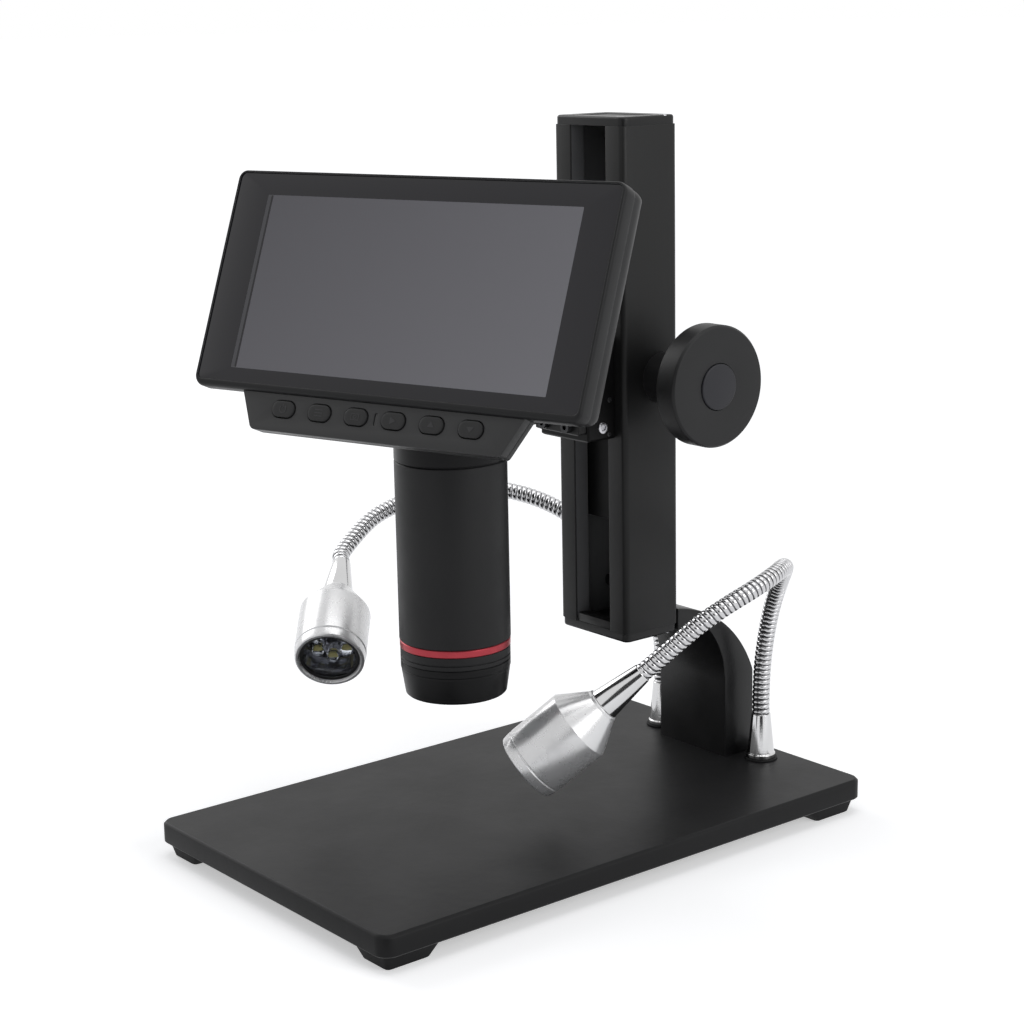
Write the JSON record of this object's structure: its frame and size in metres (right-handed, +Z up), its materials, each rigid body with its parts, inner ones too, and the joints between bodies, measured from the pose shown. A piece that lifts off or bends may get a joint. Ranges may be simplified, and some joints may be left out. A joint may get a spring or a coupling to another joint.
{
  "type": "video microscope",
  "caption": "Digital microscope with a leaning screen above a lens tube, a rack-and-pinion column, a flat stage plate and two lamps on bendable metal necks.",
  "frame": {"origin": "where the optical axis of the lens tube meets the top of the stage plate", "axes": "+Z up along the optical axis, -Y towards the front edge of the stage plate, +X towards the user's right"},
  "size_m": [0.173, 0.1905, 0.223],
  "materials": {
    "plate_black": "fine matt powder coat",
    "foot_rubber": "matt moulded rubber",
    "screw_steel": "plated screws, slightly worn",
    "arm_black": "fine matt powder coat",
    "column_black": "black anodised extrusion with fine lengthwise drawing lines",
    "cap_black": "moulded, half gloss",
    "screw_black": "black oxide screws",
    "bush_black": "black anodised, turned",
    "washer_black": "thin flat washer",
    "carriage_black": "black anodised, milled",
    "gear_steel": "cut and lightly oiled",
    "knob_black": "black anodised, turned, satin",
    "knob_disc": "inset disc, a little lighter than the knob",
    "frame_black": "fine moulded texture with a polished edge",
    "screen_glass": "clear cover glass",
    "lcd_grey": "dark display with a black printed border",
    "cover_black": "fine moulded texture",
    "board_green": "solder mask",
    "strip_black": "fine moulded texture",
    "tube_black": "black anodised, turned, satin",
    "accent_red": "red anodised, turned",
    "lens_glass": "coated lens",
    "button_black": "moulded keys",
    "lamp_silver": "turned and polished",
    "neck_chrome": "wound metal gooseneck",
    "reflector_chrome": "polished reflector",
    "led_yellow": "clear light sources",
    "lamp_glass": "clear front lens"
  },
  "bodies": {
    "stand": {"base_plate": "plate_black", "base_feet": "foot_rubber", "foot_screws": "screw_steel", "support_arm": "arm_black", "arm_base_screws": "screw_steel", "column": "column_black", "column_top_cap": "cap_black", "column_bottom_cap": "cap_black", "cap_screws": "screw_steel", "column_arm_screws": "screw_black", "shaft_bushes": "bush_black", "socket_washers": "washer_black", "lamp_lock_screws": "screw_steel"},
    "carriage": {"carriage_slider": "carriage_black", "rack": "gear_steel", "carriage_side_screws": "screw_steel", "head_arm": "carriage_black", "arm_screws": "screw_black", "clamp_screw": "screw_steel"},
    "focus": {"focus_shaft": "gear_steel", "pinion": "gear_steel", "knob_right": "knob_black", "knob_left": "knob_black", "knob_caps": "knob_disc"},
    "head": {"front_frame": "frame_black", "cover_glass": "screen_glass", "lcd_panel": "lcd_grey", "rear_cover": "cover_black", "rear_cover_screws": "screw_black", "main_board": "board_green", "control_panel": "strip_black", "power_inlet": "screw_steel", "tube_collar": "tube_black", "barrel": "tube_black", "accent_ring": "accent_red", "grip_ring": "tube_black", "lens_nose": "tube_black", "objective_lens": "lens_glass", "sensor_board": "board_green"},
    "button_1": {"button_1": "button_black"},
    "button_2": {"button_2": "button_black"},
    "button_3": {"button_3": "button_black"},
    "button_4": {"button_4": "button_black"},
    "button_5": {"button_5": "button_black"},
    "button_6": {"button_6": "button_black"},
    "lamp_right": {"lamp_right_base": "lamp_silver", "lamp_right_neck": "neck_chrome", "lamp_right_ferrule": "lamp_silver", "lamp_right_shell": "lamp_silver", "lamp_right_reflector": "reflector_chrome", "lamp_right_leds": "led_yellow", "lamp_right_lens": "lamp_glass"},
    "lamp_left": {"lamp_left_base": "lamp_silver", "lamp_left_neck": "neck_chrome", "lamp_left_ferrule": "lamp_silver", "lamp_left_shell": "lamp_silver", "lamp_left_reflector": "reflector_chrome", "lamp_left_leds": "led_yellow", "lamp_left_lens": "lamp_glass"}
  },
  "joints": [
    {"name": "carriage_slide", "type": "slide", "parent": "stand", "child": "carriage", "axis": [0, 0, 1], "range_m": [-0.012, 0.038]},
    {"name": "focus_turn", "type": "hinge", "parent": "stand", "child": "focus", "pos_m": [0, 0.0712, 0.131], "axis": [1, 0, 0], "range_deg": [-610, 196]},
    {"name": "head_swivel", "type": "hinge", "parent": "carriage", "child": "head", "pos_m": [0, 0, 0.1275], "axis": [0, 0, 1], "range_deg": [-56, 23]},
    {"name": "button_1_press", "type": "slide", "parent": "head", "child": "button_1", "axis": [-0.2666, 0.8832, -0.3859], "range_m": [0, 0.0007], "stiffness_N_per_m": 1500},
    {"name": "button_2_press", "type": "slide", "parent": "head", "child": "button_2", "axis": [-0.2666, 0.8832, -0.3859], "range_m": [0, 0.0007], "stiffness_N_per_m": 1500},
    {"name": "button_3_press", "type": "slide", "parent": "head", "child": "button_3", "axis": [-0.2666, 0.8832, -0.3859], "range_m": [0, 0.0007], "stiffness_N_per_m": 1500},
    {"name": "button_4_press", "type": "slide", "parent": "head", "child": "button_4", "axis": [-0.2666, 0.8832, -0.3859], "range_m": [0, 0.0007], "stiffness_N_per_m": 1500},
    {"name": "button_5_press", "type": "slide", "parent": "head", "child": "button_5", "axis": [-0.2666, 0.8832, -0.3859], "range_m": [0, 0.0007], "stiffness_N_per_m": 1500},
    {"name": "button_6_press", "type": "slide", "parent": "head", "child": "button_6", "axis": [-0.2666, 0.8832, -0.3859], "range_m": [0, 0.0007], "stiffness_N_per_m": 1500},
    {"name": "lamp_right_swing", "type": "hinge", "parent": "stand", "child": "lamp_right", "pos_m": [0.024, 0.1076, 0], "axis": [0, 0, 1], "range_deg": [-4, 40]},
    {"name": "lamp_left_swing", "type": "hinge", "parent": "stand", "child": "lamp_left", "pos_m": [-0.024, 0.1076, 0], "axis": [0, 0, 1], "range_deg": [-40, 8]}
  ],
  "couplings": [
    {"joint": "focus_turn", "follows": "carriage_slide", "rad_per_m": -277.78}
  ]
}
